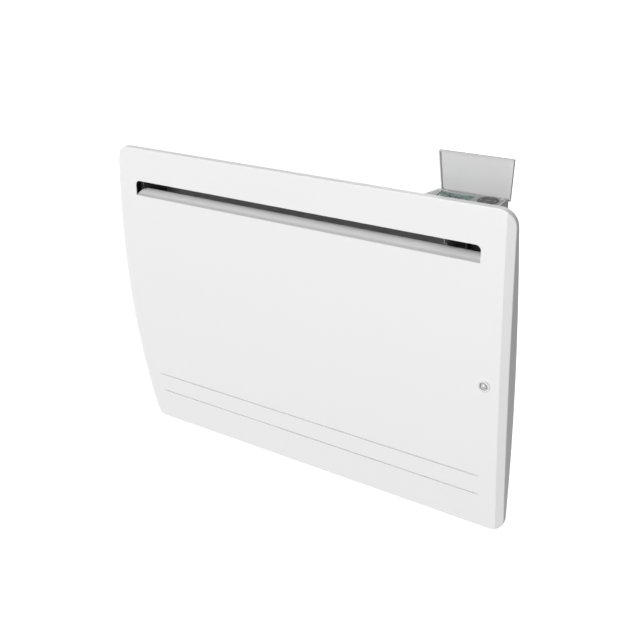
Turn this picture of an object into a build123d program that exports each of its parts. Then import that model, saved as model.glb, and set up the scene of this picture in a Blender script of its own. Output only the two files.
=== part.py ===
from build123d import *
import os

# Electric wall panel heater: a curved steel front, a sheet-steel body behind it, a finned
# heating element inside, and a control unit under a hinged flap at the top right.
#
# Millimetres. X runs to the right along the wall, Y runs into the wall, Z is up.
# The origin is on the wall, at the centre of the wall bracket's screw pattern, which is
# level with the panel's mid-height. The front of the panel faces -Y.

# ---------------------------------------------------------------- front cover (pressed steel)
panel_width = 621.8
panel_height = 455.4
side_bulge = 5.1            # each side edge draws in this much at the top and bottom corners
edge_depth = 8.6            # face in front of the rear rim, at the top and bottom edges
face_crown = 16.4           # how much further forward the face stands at mid-height
strip_width = 10.1          # bevelled strip down each side
strip_drop = 5.2
cover_sheet = 1.2
edge_round = 1.6
corner_top = 22.0
corner_bottom = 21.0
rim_gap = 2.0               # from the body's walls to the window in the cover's rear rim

slot_side_margin = 41.8     # from the panel's side to the end of the outlet slot
slot_shift = -1.4           # of the slot's middle from the panel's
slot_top_margin = 46.0
slot_height = 21.2
slot_corner = 7.0
lip_reach = 23.0            # the slot's lower edge is rolled inwards as an air lip
lip_rise = 4.6
lip_tip_rise = 3.3
lip_end_gap = 1.0
lip_clearance = 2.0

groove_side_margin = 42.4
groove_bottom_margin = 57.5
groove_spacing = 31.9
groove_radius = 0.8
groove_depth = 1.8

# ---------------------------------------------------------------- rear body (folded sheet steel)
wall_gap = 20.0
body_depth = 60.0
body_side_margin = 38.9     # the body stands back from the panel's outline
body_top_margin = 30.6
body_bottom_margin = 27.0
body_sheet = 1.0
body_flange = 16.0
body_bend = 8.0
seam_flange = 10.0

inlet_slot_length = 30.0
inlet_slot_width = 7.0
inlet_slot_pitch = 41.0
inlet_end_room = 30.0
inlet_rows = 2
inlet_row_pitch = 16.0

cover_screw_radius = 1.9
cover_screw_fit = 0.1
cover_screw_head = 3.8
cover_screw_head_height = 2.4
cover_screw_slot = 1.0
cover_screw_tip = 2.0       # how far a screw's tip stands inside the cover's rim
cover_screw_inset = 8.0     # from the flange's edge
cover_screw_corner_x = 122.0
cover_screw_corner_z = 51.5
cover_screws_across = 3
cover_screws_up = 2

# ---------------------------------------------------------------- inner sheets
compartment_width = 59.0    # electronics compartment at the right, inside the body
partition_setback = 2.0
inner_sheet = 0.8
side_clearance = 0.4
reflector_gap = 14.0        # from the back of the body to the reflector
reflector_foot = 12.0       # above the body's underside
reflector_bend = 18.0
reflector_bend_drop = 1.5   # the bend's corner below the slot
guide_tip_gap = 2.0         # from the air guide's tip to the cover
guide_tip_rise = 2.6        # the tip above the slot's upper edge
shield_offset = 7.0         # front shield in front of the body's rim
shield_foot = 25.0
shield_top_drop = 27.0      # below the slot
shield_flange = 8.0
spacer_radius = 5.0
spacer_inset_x = 48.0
spacer_inset_top = 40.0
spacer_inset_bottom = 20.0

# ---------------------------------------------------------------- heating element
element_rise = 90.0         # above the body's underside
element_setback = 20.0      # behind the body's rim
element_end_room = 52.0
fin_pitch = 10.6
fin_thickness = 1.6
fin_depth = 42.0
fin_height = 76.0
fin_waist = 9.0
core_thickness = 13.0
core_margin = 8.0           # casting round the rod
rod_radius = 4.2
rod_spacing = 26.0
rod_fit = 0.05
rod_tail = 15.0
stud_radius = 2.0
stud_length = 11.0
stud_nut_radius = 3.8
stud_nut_height = 2.6
bush_radius = 8.0
bush_collar = 10.0
bush_collar_length = 3.0
bush_fit = 0.1
carrier_sheet = 1.5
carrier_gap = 6.0
carrier_foot = 18.0
limiter_radius = 8.0
limiter_flange = 10.4
limiter_flange_height = 2.0
limiter_body_height = 8.0
limiter_gap = 2.0           # above the fins
blade_length = 8.0
blade_width = 6.0
blade_thickness = 0.8

# ---------------------------------------------------------------- control unit
display_width = 45.0
display_depth = 24.0
display_thickness = 0.8
display_recess = 0.1
display_cell = 2.6
display_frame = 1.0
display_setback = 15.5      # from the flap's axis forward to the display's centre
pad_radius = 12.9
pad_setback = 11.9
ok_radius = 5.6
control_edge_left = 8.6     # from the housing's rear left corner to the display
control_gap = 6.5           # from the display to the key pad
control_edge_right = 6.6    # from the key pad to the housing's right side
control_side_inset = 2.9    # housing inside the body's right side
control_setback = 2.5       # housing behind the body's rim
control_drop = 13.2         # housing's top below the panel's top edge
control_flare = 16.6        # the housing's left side runs outwards towards the front
control_tub_depth = 20.9
control_wall = 1.8
control_round = 1.2
tub_inset = 1.5
fascia_height = 5.2
fascia_skin = 1.6
fascia_gap = 0.15           # round the fascia, in its pocket
fascia_edge_left = 5.0      # from the housing's sides to the pocket
fascia_edge_right = 2.8
fascia_edge_front = 3.0
fascia_edge_rear = 0.9

key_gap = 0.3
key_round = 0.35
key_proud = 0.4
key_travel = 0.5
key_rest_gap = 0.25         # between a key's foot and the fascia above it
key_foot = 0.5              # how far a key's foot reaches under the fascia
key_foot_thickness = 0.8
key_stem_radius = 1.4
board_thickness = 1.6
board_floor_gap = 5.0
post_radius = 2.0
post_inset = 6.0
tact_size = 5.0
tact_height = 3.4
tact_plunger_radius = 1.5
tact_plunger_height = 0.9

flap_wall = 1.3
flap_rim = 2.8              # rim in front of the lid
flap_rear_half = 45.1       # half the flap's width at its hinge, and at its front edge
flap_front_half = 48.7
flap_offset = 3.0          # flap's middle to the right of the housing's
flap_front_reach = 0.1      # the shut flap's front edge in front of the housing's
flap_seat_gap = 0.3         # under the rim when shut
flap_back_gap = 0.7         # between the open lid and the housing's rear
flap_corner = 1.0
flap_edge_round = 0.5
hinge_back_gap = 6.9        # from the hinge axis to the body's back face
hinge_cover = 0.1           # the hinge's arms stay this far below the fascia's top
hinge_pin_radius = 0.9
hinge_pin_fit = 0.05
hinge_arm_radius = 1.8
hinge_arm_inset = 3.9       # from the flap's sides to its arms
hinge_ear_width = 3.0       # of the housing beside each arm, which holds the pin
hinge_side_gap = 0.4        # round the arms, in the housing's slots
hinge_ear_margin = 0.4      # round the ears, to the fascia's pocket

# ---------------------------------------------------------------- presence sensor
sensor_inset = 30.3         # from the panel's side
sensor_height = 2.6
sensor_bezel_radius = 8.3
sensor_bezel_height = 1.0
sensor_seat_gap = 0.05      # between the ring's back and the crowned face
sensor_tube_radius = 6.6
sensor_tube_wall = 1.1
sensor_tube_length = 7.0
sensor_dome_radius = 4.4
sensor_dome_setback = 2.2
sensor_fit = 0.15
holder_width = 19.0
holder_height = 26.0
holder_depth = 9.0
holder_wall = 1.4
detector_radius = 4.1
detector_height = 1.2

# ---------------------------------------------------------------- electronics compartment
power_board_width = 44.0
power_board_height = 150.0
power_board_lift = 11.6     # above the limiter's flange
power_board_inset = 6.0
standoff_radius = 3.0
standoff_length = 8.0
capacitor_radius = 6.5
capacitor_height = 20.0
capacitor_lift = 32.0
fuse_radius = 2.4
fuse_seat = 0.2             # the fuse sits this far into its clip
fuse_length = 20.0
fuse_lift = 36.0
connector_height = 11.0
connector_margin = 4.0
connector_depth = 12.0
relay_height = 15.0
relay_width = 12.0
relay_length = 28.0
relay_lift = 100.0
terminal_depth = 16.0
terminal_width = 30.0
terminal_height = 20.0
terminal_rise = 40.0        # above the body's underside
terminal_poles = 3
terminal_screw_radius = 2.5
terminal_screw_depth = 8.0
terminal_entry_radius = 2.2
terminal_entry_depth = 7.5
gland_inset = 25.0          # from the body's side
gland_thread_radius = 8.0
gland_thread_reach = 7.0
gland_hex_radius = 11.0
gland_hex_height = 6.0
gland_dome_radius = 9.0
gland_dome_height = 9.0
gland_bore_radius = 4.2
gland_nut_height = 5.0
gland_fit = 0.2
probe_inset = 42.0
probe_back_gap = 10.0
probe_radius = 4.5
probe_wall = 0.9
probe_collar = 0.9
probe_length = 15.0
probe_slot_width = 1.8
probe_bead_radius = 1.8
probe_leg_radius = 0.4
probe_leg_gap = 1.6
lead_radius = 1.2
lead_bend = 4.0
ribbon_width = 12.0
ribbon_thickness = 0.9
ribbon_bend = 5.0
switch_top_margin = 46.0
switch_back_gap = 26.0
switch_width = 13.0
switch_length = 19.4
switch_bezel = 2.0
switch_bezel_thickness = 1.8
switch_depth = 18.0
switch_wall = 1.3
switch_fit = 0.1
rocker_pivot_depth = 4.0
rocker_tilt = 8.0
rocker_crown = 3.4
rocker_waist = 2.4
rocker_barrel_radius = 3.6
rocker_taper = 2.0
rocker_gap = 0.35
rocker_end_gap = 1.0
rocker_pin_radius = 1.2
rocker_pin_length = 1.0
rocker_pin_fit = 0.05

# ---------------------------------------------------------------- wall bracket
screw_spacing_x = 300.0
screw_spacing_z = 200.0
screw_hole_radius = 2.75
bracket_sheet = 1.5
bracket_margin = 20.0
bracket_upright = 42.0
bracket_top_rail = 56.0
bracket_bottom_rail = 42.0
bracket_top_margin = 16.0   # below the body's top
bracket_corner = 10.0
hook_low_margin = 16.0
hook_high_margin = 110.0
hook_thickness = 8.0
hook_nose = 6.0
hook_reach = 4.5
hook_clearance = 1.0
latch_inset = 50.0
latch_drop = 15.0
latch_stem_radius = 3.95
latch_stem_fit = 0.05
latch_collar = 6.0
latch_head_length = 17.0
latch_head_width = 7.4
latch_head_thickness = 3.2
latch_head_gap = 1.0
latch_lever_length = 31.0
latch_lever_width = 11.0
latch_ear_setback = 6.0     # from the body's back to the ear that carries the latch
latch_ear_width = 26.0
latch_ear_top = 11.5
latch_slot_clearance = 0.6
bumper_inset_x = 72.0
bumper_rise = 35.0
bumper_radius = 10.0
bumper_tip_radius = 7.0

# ---------------------------------------------------------------- places worked out from these
panel_top = panel_height / 2
panel_side = panel_width / 2
back_y = -wall_gap
rim_y = back_y - body_depth
centre_y = back_y - body_depth / 2
inner_back_y = back_y - body_sheet
body_top = panel_top - body_top_margin
body_bottom = -panel_top + body_bottom_margin
body_half = panel_side - body_side_margin
inner_half = body_half - body_sheet
slot_top = panel_top - slot_top_margin
slot_bottom = slot_top - slot_height
slot_half = panel_side - slot_side_margin
groove_half = panel_side - groove_side_margin
groove_low = -panel_top + groove_bottom_margin

partition_x = inner_half - compartment_width
partition_face = partition_x + body_sheet
duct_left = -inner_half
duct_centre = (duct_left + partition_x) / 2
reflector_y = back_y - reflector_gap
shield_y = rim_y - shield_offset
element_y = rim_y + element_setback
element_z = body_bottom + element_rise
rod_levels = (element_z - rod_spacing / 2, element_z + rod_spacing / 2)
stud_x = partition_x + rod_tail
limiter_z = element_z + fin_height / 2 + limiter_gap + limiter_radius

control_width = (control_edge_left + display_width + control_gap
                 + 2 * pad_radius + control_edge_right)
control_right = body_half - control_side_inset
control_left = control_right - control_width
control_front = rim_y + control_setback
tub_left = control_left + tub_inset
tub_right = control_right - tub_inset
fascia_top = panel_top - control_drop
control_shoulder = fascia_top - fascia_height
control_floor = control_shoulder - control_tub_depth
key_top = fascia_top + key_proud
key_under = fascia_top - fascia_skin - key_rest_gap
hinge_y = back_y - hinge_back_gap
hinge_z = fascia_top - hinge_cover - hinge_arm_radius
lid_offset = fascia_top + flap_seat_gap + flap_rim - hinge_z
lid_y = hinge_y + lid_offset
control_rear = lid_y - flap_back_gap
flap_centre = (control_left + control_right) / 2 + flap_offset
flap_length = hinge_y - control_front + flap_front_reach
display_x = control_left + control_edge_left + display_width / 2
display_y = hinge_y - display_setback
pad_x = control_right - control_edge_right - pad_radius
pad_y = hinge_y - pad_setback
board_top = control_floor + control_wall + board_floor_gap + board_thickness
tact_top = board_top + tact_height + tact_plunger_height

sensor_x = panel_side - sensor_inset
power_board_x = partition_face + standoff_length
power_board_face = power_board_x + board_thickness
power_board_low = limiter_z + limiter_flange + power_board_lift
power_board_top = power_board_low + power_board_height
connector_z = power_board_low + connector_margin + connector_depth / 2
terminal_z = body_bottom + terminal_rise
gland_x = inner_half - gland_inset
probe_x = inner_half - probe_inset
probe_y = back_y - probe_back_gap
ribbon_x = power_board_x + board_thickness / 2 + 2 * ribbon_bend
switch_z = body_top - switch_top_margin
switch_y = back_y - switch_back_gap
rocker_x = body_half + switch_bezel_thickness - rocker_pivot_depth

bracket_half = screw_spacing_x / 2 + bracket_margin
bracket_low = -screw_spacing_z / 2 - bracket_margin
bracket_top = body_top - bracket_top_margin
hook_levels = (bracket_low + hook_low_margin, bracket_top - hook_high_margin)
latch_x = bracket_half - latch_inset
latch_z = bracket_top - latch_drop
ear_front = back_y + latch_ear_setback
ear_rear = ear_front + bracket_sheet
bumper_x = body_half - bumper_inset_x
bumper_z = body_bottom + bumper_rise


# ---------------------------------------------------------------- shapes used throughout
def block(x, y, z):
    """A block between a pair of limits along each axis."""
    sizes = [abs(high - low) for low, high in (x, y, z)]
    centres = [(high + low) / 2 for low, high in (x, y, z)]
    return Pos(*centres) * Box(*sizes)


def bar_x(radius, x, y, z):
    """A round bar along X, between the two limits given for X."""
    return Pos(min(x), y, z) * extrude(Plane.YZ * Circle(radius), max(x) - min(x))


def bar_y(radius, x, y, z):
    """A round bar along Y, between the two limits given for Y."""
    return Pos(x, max(y), z) * extrude(Plane.XZ * Circle(radius), max(y) - min(y))


def bar_z(radius, x, y, z):
    """A round bar along Z, between the two limits given for Z."""
    return Pos(x, y, min(z)) * extrude(Circle(radius), max(z) - min(z))


def along_x(section, x):
    """A section drawn in the YZ plane, extruded between two limits along X."""
    return Pos(min(x), 0, 0) * extrude(Plane.YZ * section, max(x) - min(x))


def facing_front(section, y, depth):
    """A section drawn in the XZ plane, extruded forwards from a given Y."""
    return Pos(0, y, 0) * extrude(Plane.XZ * section, depth)


def spread(first, last, count):
    """Evenly spaced places from the first to the last."""
    step = (last - first) / (count - 1)
    return [first + i * step for i in range(count)]


def fitting_count(room, pitch):
    """How many copies at a pitch fit into a length."""
    return int(room / pitch) + 1


# ---------------------------------------------------------------- front cover
def half_width(z):
    """Half the panel's width at a height: the sides bow outwards."""
    return panel_side - side_bulge * (z / panel_top) ** 2


def face_y(z):
    """The front face at a height: it is crowned from top to bottom."""
    return rim_y - edge_depth - face_crown * (1 - (z / panel_top) ** 2)


def outline(inset):
    """The panel's outline: bowed sides and rounded corners."""
    side = half_width(panel_top) - inset
    bow = panel_side - inset
    end = panel_top - inset
    edges = [
        ThreePointArc((side, -end), (bow, 0), (side, end)),
        Line((side, end), (-side, end)),
        ThreePointArc((-side, end), (-bow, 0), (-side, -end)),
        Line((-side, -end), (side, -end)),
    ]
    face = make_face(edges)
    top = face.vertices().group_by(Axis.Y)[-1]
    face = fillet(top, corner_top - inset)
    bottom = face.vertices().group_by(Axis.Y)[0]
    return fillet(bottom, corner_bottom - inset)


def crowned_block(inset):
    """The face and its bevelled side strips, lofted through cross-sections at five heights."""
    overrun = strip_width / 6
    reach = panel_top + overrun
    sections = []
    for z in spread(-reach, reach, 5):
        side = half_width(z) - inset
        front = face_y(z) + inset
        edge = front + strip_drop * (1 + overrun / strip_width)
        right = [(side + overrun, rim_y), (side + overrun, edge), (side - strip_width, front)]
        left = [(-x, y) for x, y in reversed(right)]
        sections.append(Plane.XY.offset(z) * make_face(Polyline(*right, *left, close=True)))
    return loft(sections)


def pressing(inset):
    """The cover's solid form, or its hollow where inset by the sheet's thickness."""
    depth = edge_depth + face_crown + strip_width
    return crowned_block(inset) & facing_front(outline(inset), rim_y - inset, depth)


def front_edges(form):
    """The edges all round the front of the form's outer walls."""
    walls = [face for face in form.faces() if abs(face.normal_at().Y) < 0.1]
    edges = [edge for wall in walls for edge in wall.edges()]
    return [e for e in edges if e.center().Y < rim_y - cover_sheet and abs((e % 0.5).Y) < 0.9]


def groove_rod(z, radius):
    """A round-nosed bar sunk in the face that leaves one pressed groove."""
    y = face_y(z) + groove_depth - groove_radius
    limits = (-groove_half, groove_half)
    nose = bar_x(radius, limits, y, z)
    return nose + block(limits, (face_y(z) - groove_radius, y), (z - radius, z + radius))


def slot_cutter():
    """The air outlet: upper corners rounded, lower edge left square for the rolled lip."""
    opening = Rectangle(2 * slot_half, slot_height)
    opening = fillet(opening.vertices().group_by(Axis.Y)[-1], slot_corner)
    place = Pos(slot_shift, slot_bottom + slot_height / 2)
    return facing_front(place * opening, rim_y, panel_width)


def air_lip():
    """The slot's lower edge, rolled back and over like a wing."""
    start_y = face_y(slot_bottom) + cover_sheet / 4
    start_z = slot_bottom - cover_sheet / 2
    crest = (start_y + 0.6 * lip_reach, start_z + lip_rise)
    tip = (start_y + lip_reach, start_z + lip_tip_rise)
    section = trace(ThreePointArc((start_y, start_z), crest, tip), cover_sheet)
    half = slot_half - lip_end_gap
    return along_x(section, (slot_shift - half, slot_shift + half))


def rim_window():
    """The opening in the cover's rear rim, a little larger than the body."""
    sides = (-body_half - rim_gap, body_half + rim_gap)
    rim = (rim_y - 2 * cover_sheet, rim_y + cover_sheet)
    return block(sides, rim, (body_bottom - rim_gap, body_top + rim_gap))


def cover_screw_places():
    """Screws round the flange that joins the body to the cover."""
    side = body_half + body_flange - cover_screw_inset
    top = body_top + body_flange - cover_screw_inset
    bottom = body_bottom - body_flange + cover_screw_inset
    row = body_half - cover_screw_corner_x
    places = [(x, z) for x in spread(-row, row, cover_screws_across) for z in (bottom, top)]
    heights = (body_bottom + cover_screw_corner_z, body_top - cover_screw_corner_z)
    places += [(x, z) for x in (-side, side) for z in spread(*heights, cover_screws_up)]
    return places


def screw_holes(sheet, radius):
    """The sheet with the cover screws' holes through it."""
    depth = (rim_y - 2 * cover_sheet, rim_y + 2 * body_sheet)
    for x, z in cover_screw_places():
        sheet -= bar_y(radius, x, depth, z)
    return sheet


def front_cover():
    """One pressing: crowned face, bowed sides, turned-in rim, outlet slot with rolled lip."""
    outer = pressing(0)
    outer = fillet(front_edges(outer), edge_round)
    hollow = pressing(cover_sheet)
    grooves = (groove_low, groove_low + groove_spacing)
    for z in grooves:
        hollow -= groove_rod(z, groove_radius + cover_sheet)
    cover = outer - hollow - rim_window() - slot_cutter()
    for z in grooves:
        cover -= groove_rod(z, groove_radius)
    cover += air_lip()
    cover -= bar_y(sensor_tube_radius + sensor_fit, sensor_x, (rim_y - 2 * cover_sheet,
                   rim_y - panel_width / 2), sensor_height)
    return screw_holes(cover, cover_screw_radius)


# ---------------------------------------------------------------- rear body
def body_profile(inset):
    """The body seen from the side, open at the rim, with bends at its two rear corners."""
    face = Rectangle(body_depth - inset, body_top - body_bottom - 2 * inset)
    rear = face.vertices().group_by(Axis.X)[-1]
    face = fillet(rear, body_bend - inset)
    return Pos(rim_y + (body_depth - inset) / 2, (body_top + body_bottom) / 2) * face


def inlet_cutters():
    """Rows of punched air slots in the body's underside."""
    room = partition_x - duct_left - 2 * inlet_end_room - inlet_slot_length
    count = fitting_count(room, inlet_slot_pitch)
    reach = (count - 1) * inlet_slot_pitch / 2
    row_reach = (inlet_rows - 1) * inlet_row_pitch / 2
    slot = extrude(SlotOverall(inlet_slot_length, inlet_slot_width), 3 * body_sheet)
    cutters = []
    for x in spread(duct_centre - reach, duct_centre + reach, count):
        for y in spread(centre_y - row_reach, centre_y + row_reach, inlet_rows):
            cutters.append(Pos(x, y, body_bottom - body_sheet) * slot)
    return cutters


def hook_slot_cutters():
    """Slots in the body's back that the wall bracket's hooks pass through."""
    depth = (inner_back_y - body_sheet, back_y + body_sheet)
    half = bracket_sheet / 2 + hook_clearance
    fall = hook_thickness + hook_nose + 2 * hook_clearance
    centre = bracket_half - bracket_sheet / 2
    return [block((x - half, x + half), depth, (z - fall, z))
            for x in (-centre, centre) for z in hook_levels]


def latch_slot_cutters():
    """Slots in the body's back that the quarter-turn latches pass through."""
    depth = (inner_back_y - body_sheet, back_y + body_sheet)
    half = latch_head_length / 2 + latch_slot_clearance
    rise = max(latch_head_width / 2, latch_stem_radius) + latch_slot_clearance
    return [block((x - half, x + half), depth, (latch_z - rise, latch_z + rise))
            for x in (-latch_x, latch_x)]


def rear_body():
    """Top, back and underside of the body, folded from one sheet with a flange at the rim."""
    section = body_profile(0) - body_profile(body_sheet)
    flange = Rectangle(body_sheet, body_flange)
    for z in (body_top + body_flange / 2, body_bottom - body_flange / 2):
        section += Pos(rim_y + body_sheet / 2, z) * flange
    sheet = along_x(section, (-inner_half, inner_half))
    sheet -= block((tub_left - side_clearance, tub_right + side_clearance),
                   (control_front + tub_inset - side_clearance,
                    control_rear - tub_inset + side_clearance),
                   (body_top - body_bend, body_top + body_sheet))
    underside = (body_bottom - body_sheet, body_bottom + 2 * body_sheet)
    sheet -= bar_z(gland_thread_radius + gland_fit, gland_x, centre_y, underside)
    sheet -= bar_z(probe_radius + gland_fit, probe_x, probe_y, underside)
    for cutter in inlet_cutters() + hook_slot_cutters() + latch_slot_cutters():
        sheet -= cutter
    return screw_holes(sheet, cover_screw_radius + cover_screw_fit)


def end_plate(side):
    """A side of the body: a flanged cheek with a seam flange inside the back."""
    outer = side * body_half
    inner = side * inner_half
    cheek = along_x(body_profile(0), (inner, outer))
    cheek += block((outer, outer + side * body_flange), (rim_y, rim_y + body_sheet),
                   (body_bottom + body_bend, body_top - body_bend))
    cheek += block((inner, inner - side * seam_flange), (inner_back_y - body_sheet, inner_back_y),
                   (body_bottom + 2 * body_bend, body_top - 4 * body_bend))
    if side > 0:
        cheek -= switch_opening()
    return screw_holes(cheek, cover_screw_radius + cover_screw_fit)


def cover_screws():
    """Slotted screws that hold the cover to the body's flange, driven from behind."""
    seat = rim_y + body_sheet
    top = seat + cover_screw_head_height
    screws = []
    for x, z in cover_screw_places():
        head = bar_y(cover_screw_head, x, (seat, top), z)
        head = chamfer(head.edges().group_by(Axis.Y)[-1], cover_screw_head_height / 3)
        shank = bar_y(cover_screw_radius, x, (rim_y - cover_sheet - cover_screw_tip, seat), z)
        slot = block((x - cover_screw_head, x + cover_screw_head), (top - cover_screw_slot, top),
                     (z - cover_screw_slot / 2, z + cover_screw_slot / 2))
        screws.append(head + shank - slot)
    return Compound(screws)


# ---------------------------------------------------------------- inner sheets
def partition_plate():
    """The wall between the hot air duct and the electronics, notched round the air lip."""
    front = rim_y + partition_setback
    top = control_floor - 2 * body_sheet
    web = (partition_x, partition_face)
    foot = (partition_x, partition_x + seam_flange)
    sheet = along_x(body_profile(body_sheet), web)
    sheet &= block(web, (front, inner_back_y), (body_bottom + body_sheet, top))
    sheet += block(foot, (inner_back_y - body_sheet, inner_back_y),
                   (body_bottom + 2 * body_bend, top - 2 * body_bend))
    sheet += block(foot, (front + 2 * body_bend, inner_back_y - body_bend),
                   (body_bottom + body_sheet, body_bottom + 2 * body_sheet))
    through = (partition_x - body_sheet, partition_x + seam_flange)
    sheet -= block(through, (rim_y, face_y(slot_bottom) + lip_reach + lip_clearance),
                   (slot_bottom - lip_clearance, slot_bottom + lip_rise + lip_clearance))
    for z in rod_levels:
        sheet -= bar_x(bush_radius + bush_fit, through, element_y, z)
    return sheet - bar_x(limiter_radius + bush_fit, through, element_y, limiter_z)


def rear_reflector():
    """Sheet behind the element, bent forwards at the top to guide the air to the slot."""
    y = reflector_y + inner_sheet / 2
    tip = (face_y(slot_top) + cover_sheet + guide_tip_gap, slot_top + guide_tip_rise)
    corner = (y, slot_bottom - reflector_bend_drop)
    foot = (y, body_bottom + reflector_foot)
    path = FilletPolyline(foot, corner, tip, radius=reflector_bend)
    limits = (duct_left + side_clearance, partition_x - side_clearance)
    return along_x(trace(path, inner_sheet), limits)


def front_shield():
    """Sheet between the element and the cover, with flanges onto the side walls."""
    heights = (body_bottom + shield_foot, slot_bottom - shield_top_drop)
    sheet = block((duct_left, partition_x), (shield_y, shield_y + inner_sheet), heights)
    for start, way in ((duct_left, 1), (partition_x, -1)):
        sheet += block((start, start + way * inner_sheet), (shield_y, rim_y + shield_flange),
                       heights)
    return sheet


def reflector_spacers():
    """Tubes that hold the reflector off the body's back."""
    sides = (duct_left + spacer_inset_x, partition_x - spacer_inset_x)
    levels = (body_bottom + reflector_foot + spacer_inset_bottom, slot_bottom - spacer_inset_top)
    depth = (reflector_y + inner_sheet, inner_back_y)
    return Compound([bar_y(spacer_radius, x, depth, z) for x in sides for z in levels])


# ---------------------------------------------------------------- heating element
def fin_places():
    """Where each fin stands along the duct."""
    room = partition_x - duct_left - 2 * element_end_room - fin_thickness
    count = fitting_count(room, fin_pitch)
    reach = (count - 1) * fin_pitch / 2
    return spread(duct_centre - reach, duct_centre + reach, count)


def casting_limits():
    return (fin_places()[0] - fin_thickness / 2, fin_places()[-1] + fin_thickness / 2)


def fin_section():
    """One fin seen along the duct: a plate drawn in at the waist, like a bow tie."""
    depth, height = fin_depth / 2, fin_height / 2
    waist = depth - fin_waist
    right = [(depth, -height), (waist, -rod_spacing / 4), (waist, rod_spacing / 4), (depth, height)]
    left = [(-y, z) for y, z in reversed(right)]
    return Pos(element_y, element_z) * make_face(Polyline(*right, *left, close=True))


def heating_element():
    """Cast aluminium core with a row of waisted fins, bored for the heating rod."""
    limits = casting_limits()
    half = core_thickness / 2
    core = block(limits, (element_y - half, element_y + half),
                 (rod_levels[0] - core_margin, rod_levels[1] + core_margin))
    fin = along_x(fin_section(), (-fin_thickness / 2, fin_thickness / 2))
    casting = core + [Pos(x, 0, 0) * fin for x in fin_places()]
    for z in rod_levels:
        casting -= bar_x(rod_radius + rod_fit, limits, element_y, z)
    return casting


def element_rod():
    """Sheathed heating rod bent into a hairpin, both tails through the partition."""
    bend_x = casting_limits()[0] - carrier_gap - 2 * carrier_sheet
    low, high = rod_levels
    radius = rod_spacing / 2
    tail = Line((stud_x, element_y, low), (bend_x, element_y, low))
    bend = ThreePointArc(tail @ 1, (bend_x - radius, element_y, element_z),
                         (bend_x, element_y, high))
    route = Wire([tail, bend, Line(bend @ 1, (stud_x, element_y, high))])
    return sweep(Plane(origin=route @ 0, z_dir=route % 0) * Circle(rod_radius), path=route)


def element_studs():
    """Threaded terminal studs at the rod's two tails, each with its nut."""
    studs = []
    for z in rod_levels:
        stud = bar_x(stud_radius, (stud_x, stud_x + stud_length), element_y, z)
        nut = extrude(Plane.YZ * RegularPolygon(stud_nut_radius, 6), stud_nut_height)
        studs.append(stud + Pos(stud_x + stud_nut_height, element_y, z) * nut)
    return Compound(studs)


def element_bushes():
    """Ceramic bushes that carry the rod's tails in the partition."""
    front = partition_x - bush_collar_length
    end = partition_face + bush_collar_length
    bushes = []
    for z in rod_levels:
        bush = bar_x(bush_collar, (front, partition_x), element_y, z)
        bush += bar_x(bush_radius, (partition_x, end), element_y, z)
        bushes.append(bush - bar_x(rod_radius + bush_fit, (front, end), element_y, z))
    return Compound(bushes)


def element_carrier():
    """Angle plate that carries the hairpin's bend, standing on the reflector."""
    x = casting_limits()[0] - carrier_gap
    half = fin_height / 2 - carrier_gap
    heights = (element_z - half, element_z + half)
    front = element_y - fin_depth / 2 + carrier_gap
    plate = block((x - carrier_sheet, x), (front, reflector_y), heights)
    plate += block((x - carrier_foot, x), (reflector_y - carrier_sheet, reflector_y), heights)
    for z in rod_levels:
        plate -= bar_x(rod_radius + bush_fit, (x - 2 * carrier_sheet, x), element_y, z)
    return plate


def blade_places():
    return (element_y - limiter_radius / 2, element_y + limiter_radius / 2)


def thermal_limiter():
    """Disc thermostat let into the partition, its blades on the electronics side."""
    front = partition_x - limiter_flange_height
    end = partition_x + limiter_body_height
    body = bar_x(limiter_flange, (front, partition_x), element_y, limiter_z)
    body += bar_x(limiter_radius, (partition_x, end), element_y, limiter_z)
    for y in blade_places():
        body += block((end, end + blade_length), (y - blade_thickness / 2, y + blade_thickness / 2),
                      (limiter_z - blade_width / 2, limiter_z + blade_width / 2))
    return body


# ---------------------------------------------------------------- control unit
def flap_half(distance):
    """Half the flap's width at a distance from its hinge axis."""
    return flap_rear_half + (flap_front_half - flap_rear_half) * distance / flap_length


def arm_limits(side, gap):
    """Where an arm of the flap runs along X, or its slot in the housing with a gap round it."""
    outer = flap_centre + side * (flap_half(0) - hinge_arm_inset)
    return (outer + side * gap, outer - side * (2 * flap_wall + gap))


def pin_limits(side):
    """A hinge pin reaches from the arm's outer face through the housing beside it."""
    outer, inner = arm_limits(side, 0)
    return (outer, inner - side * (hinge_side_gap + hinge_ear_width))


def tub_box(inset, z):
    """The housing's tub, let down through the body's top, or its hollow where inset."""
    return block((tub_left + inset, tub_right - inset),
                 (control_front + tub_inset + inset, control_rear - tub_inset - inset), z)


def flared_plan(left, right, front, rear):
    """The control unit from above, drawn in from each side: its left side runs outwards."""
    corners = [
        (control_right - right, control_rear - rear),
        (control_left + left, control_rear - rear),
        (control_left + left - control_flare, control_front + front),
        (control_right - right, control_front + front),
    ]
    return make_face(Polyline(*corners, close=True))


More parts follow.
